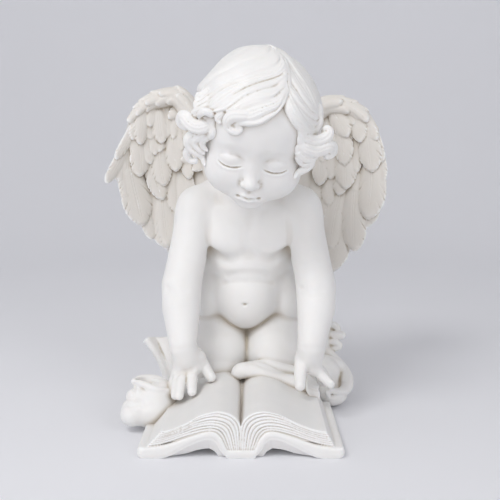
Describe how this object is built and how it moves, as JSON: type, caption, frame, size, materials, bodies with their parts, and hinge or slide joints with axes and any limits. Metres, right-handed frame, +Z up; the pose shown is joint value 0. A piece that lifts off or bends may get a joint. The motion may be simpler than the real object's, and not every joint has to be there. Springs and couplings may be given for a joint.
{
  "type": "angel statue",
  "caption": "Cast white cherub kneeling over an open book, hands on its pages, wings spread behind and a cloth gathered round the knees and hips.",
  "frame": {"origin": "the middle of the statue's bounding box, on the surface it stands on", "axes": "+Z up; the book's open front and the face look along -Y; +X is to the right of a viewer facing the statue"},
  "size_m": [0.2601, 0.2482, 0.2977],
  "materials": {
    "white_resin": "satin white marble-dust resin, creamier and slightly grey in the deep carving"
  },
  "bodies": {
    "root": {"angel_statue": "white_resin"}
  },
  "joints": []
}
